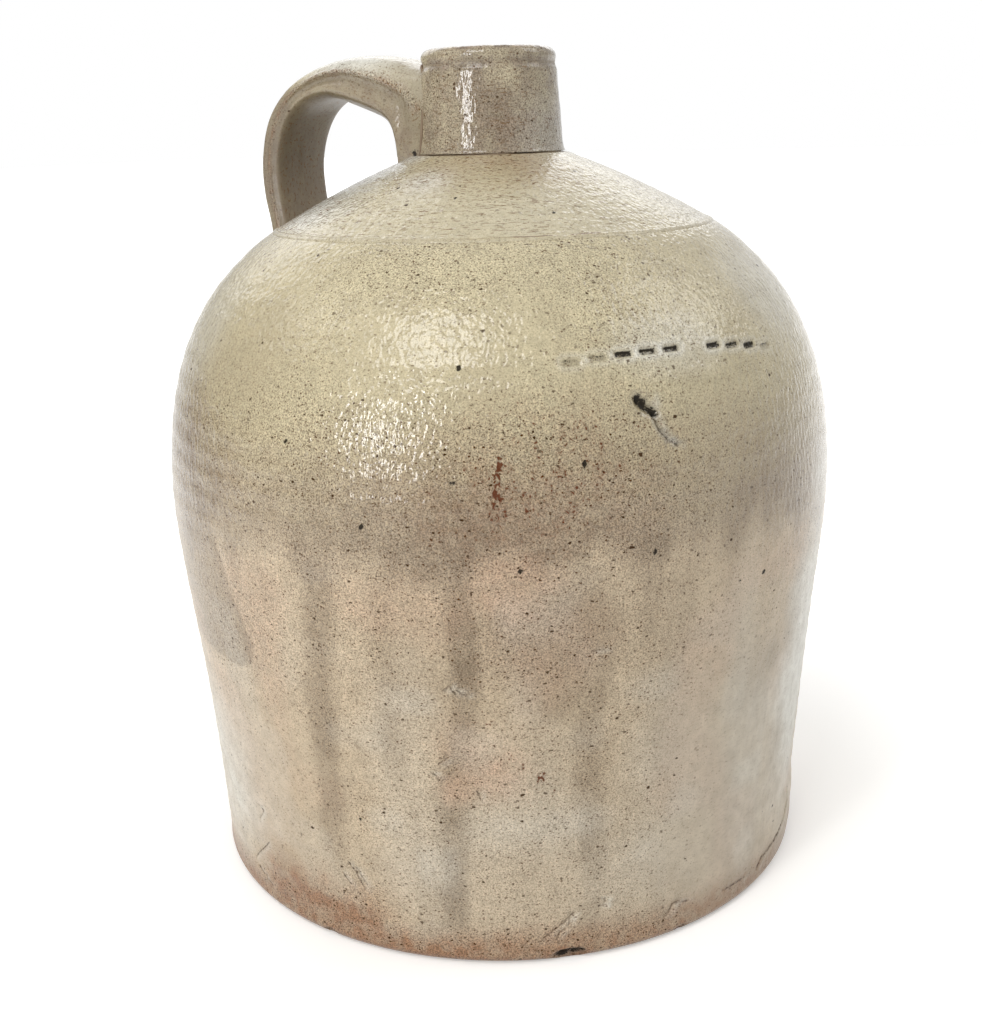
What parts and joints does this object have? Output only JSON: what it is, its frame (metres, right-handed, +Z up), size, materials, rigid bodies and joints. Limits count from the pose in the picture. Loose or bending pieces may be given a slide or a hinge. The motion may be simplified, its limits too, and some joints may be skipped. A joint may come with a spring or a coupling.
{
  "type": "stoneware crock jug",
  "caption": "Beehive stoneware jug: thrown body with a luted shoulder cap, a short tapered neck for a cork, a pulled strap handle and a brown slip lining.",
  "frame": {"origin": "centre of the foot, on the plane that the jug stands on", "axes": "+Z up along the jug's axis, the handle towards -X, in the XZ plane"},
  "size_m": [0.245, 0.245, 0.2942],
  "materials": {
    "salt_glazed_stoneware": "beige to grey salt glaze with orange-peel dimples, iron specks and a toasted foot",
    "fired_slip": "fired joining slip, brown where it was squeezed out",
    "brown_slip_glaze": "glossy dark brown slip glaze"
  },
  "bodies": {
    "root": {"thrown_body": "salt_glazed_stoneware", "shoulder_cap": "salt_glazed_stoneware", "neck_collar": "salt_glazed_stoneware", "strap_handle": "salt_glazed_stoneware", "handle_upper_wad": "salt_glazed_stoneware", "handle_lower_wad": "salt_glazed_stoneware", "shoulder_seam_slip": "fired_slip", "neck_seam_slip": "fired_slip", "handle_upper_slip": "fired_slip", "handle_lower_slip": "fired_slip", "inner_slip_lining": "brown_slip_glaze"}
  },
  "joints": []
}
